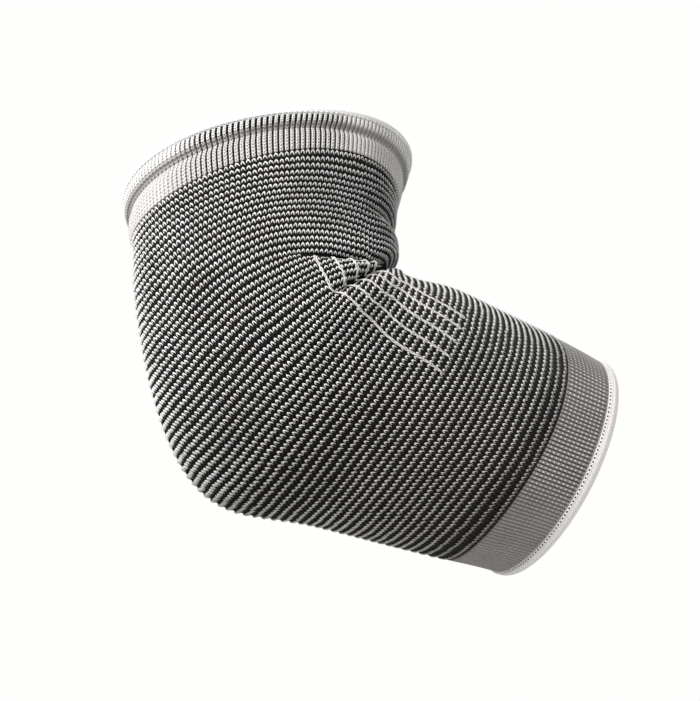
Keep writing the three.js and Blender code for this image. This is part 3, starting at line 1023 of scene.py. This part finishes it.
def forearm_rib_stitches(row, angle, x):
    return np.stack((x * WALES, (row - KNIT_ROWS) / FOREARM_CUFF_ROWS * FOREARM_RIB_COURSES), axis=-1)


upper_cuff_mesh = wall_mesh(
    "upper_cuff_fabric", just_after(upper_binding_end), just_before(upper_cuff_end),
    WALES * 8, np.linspace(0, 1, 29), 6, rib_relief(0.40, 0.35), upper_rib_stitches)
upper_cuff_fabric = finish_piece(
    "upper_cuff_fabric", upper_cuff_mesh, (pale_rib, reverse_knit), "upper_cuff")

forearm_cuff_mesh = wall_mesh(
    "forearm_cuff_fabric", just_after(forearm_cuff_start), just_before(forearm_binding_start),
    WALES * 8, np.linspace(0, 1, 25), 6, rib_relief(0.22, 0.25), forearm_rib_stitches)
forearm_cuff_fabric = finish_piece(
    "forearm_cuff_fabric", forearm_cuff_mesh, (grey_rib, reverse_knit), "forearm_cuff")


# ---------------------------------------------------------------- rolled edges

def rolled_point(wale, rim_row, way, height, turn, lift=0.0):
    # A point of the roll, turn round its section; way is 1 at the upper end and -1 at the other
    row, angle = knit_place(wale, lambda angle: np.full_like(angle, rim_row))
    along, normal = fabric_frame(row, angle)[:2]
    out = np.sin(turn) * (WALL / 2 + BINDING_SWELL) - WALL / 2 + lift
    return (fabric_point(row, angle, 0)
            + along * ((way - np.cos(turn)) * height / 2)[:, None]
            + normal * out[:, None])


def rolled_edge_mesh(name, rim_row, way, height):
    def bend(x, y):
        point = rolled_point(x * WALES, rim_row, way, height, y * 2 * math.pi)
        return point, np.stack((x * WALES, y * EDGE_COURSES), axis=-1)
    return bent_grid(name, WALES * 2, 24, bend)


# Row of the rim, way, height
UPPER_ROLL = (-UPPER_CUFF_ROWS, 1, UPPER_BINDING - PIECE_GAP / 2)
FOREARM_ROLL = (LAST_ROW, -1, FOREARM_BINDING - PIECE_GAP / 2)
upper_edge = finish_piece(
    "upper_rolled_edge",
    rolled_edge_mesh("upper_rolled_edge", *UPPER_ROLL),
    (white_edge,), "upper_binding")
forearm_edge = finish_piece(
    "forearm_rolled_edge",
    rolled_edge_mesh("forearm_rolled_edge", *FOREARM_ROLL),
    (warm_edge,), "forearm_binding")


def edge_loops(name, roll, turn, link, thickness):
    # A yarn loop for each wale, laid round the rolled edge; link is half its width, in wales,
    # and half its length, round the roll
    around = np.linspace(0, 2 * math.pi, 7)[:-1]
    paths = []
    for wale in range(WALES):
        place = math.radians(turn) + link[1] * np.sin(around)
        paths.append(rolled_point(wale + 0.5 + link[0] * np.cos(around), *roll, place, LOOP_LIFT) * METRES)
    mesh = curve_tubes(name, paths, [thickness * METRES] * WALES, closed=True)
    set_shade(mesh, np.ones(len(mesh.vertices)))
    return finish_piece(name, mesh, (white_stitch_yarn,), None)


forearm_loops = edge_loops(
    "forearm_edge_loops", FOREARM_ROLL, FOREARM_LOOP_TURN, (0.42, 0.26), 0.18)
upper_loops = edge_loops(
    "upper_edge_loops", UPPER_ROLL, UPPER_LOOP_TURN, (0.34, 0.26), 0.20)


# ---------------------------------------------------------------- floor and light

FLOOR_HEIGHT = -0.42
PIECE_MIDDLE = (0.02, 0, 0)


def add_floor():
    bm = bmesh.new()
    bmesh.ops.create_grid(
        bm, x_segments=1, y_segments=1, size=4.0, matrix=Matrix.Translation((0, 0, FLOOR_HEIGHT)))
    mesh = bpy.data.meshes.new("floor")
    bm.to_mesh(mesh)
    bm.free()
    material, tree, shader = new_material("pale_floor", 0.9, 0.0)
    shader.inputs['Base Color'].default_value = (0.66, 0.655, 0.645, 1)
    mesh.materials.append(material)
    floor = bpy.data.objects.new("floor", mesh)
    bpy.context.scene.collection.objects.link(floor)


def add_light(name, way, distance, size, power):
    data = bpy.data.lights.new(name, 'AREA')
    data.shape = 'DISK'
    data.size = size
    data.energy = power
    light = bpy.data.objects.new(name, data)
    place = Vector(PIECE_MIDDLE) + way.normalized() * distance
    light.matrix_world = Matrix.Translation(place) @ way.to_track_quat('Z', 'Y').to_matrix().to_4x4()
    bpy.context.scene.collection.objects.link(light)


def add_world():
    world = bpy.data.worlds.new("studio")
    world.use_nodes = True
    tree = world.node_tree
    sky = tree.nodes['Background']
    seen = make(tree, 'ShaderNodeLightPath').outputs['Is Camera Ray']
    strength = make(tree, 'ShaderNodeMapRange', {'Value': seen, 'To Min': 0.5, 'To Max': 1.0})
    sky.inputs['Color'].default_value = (0.995, 0.995, 0.985, 1)
    tree.links.new(strength.outputs['Result'], sky.inputs['Strength'])
    bpy.context.scene.world = world
    bpy.context.scene.view_settings.view_transform = 'Standard'


add_floor()
add_light("key", view_back * 0.55 - view_right * 0.7 + view_up * 0.75, 0.9, 0.5, 9.7)
add_light("fill", view_back * 0.8 + view_right * 0.5 + view_up * 0.1, 1.1, 0.7, 2.9)
add_world()
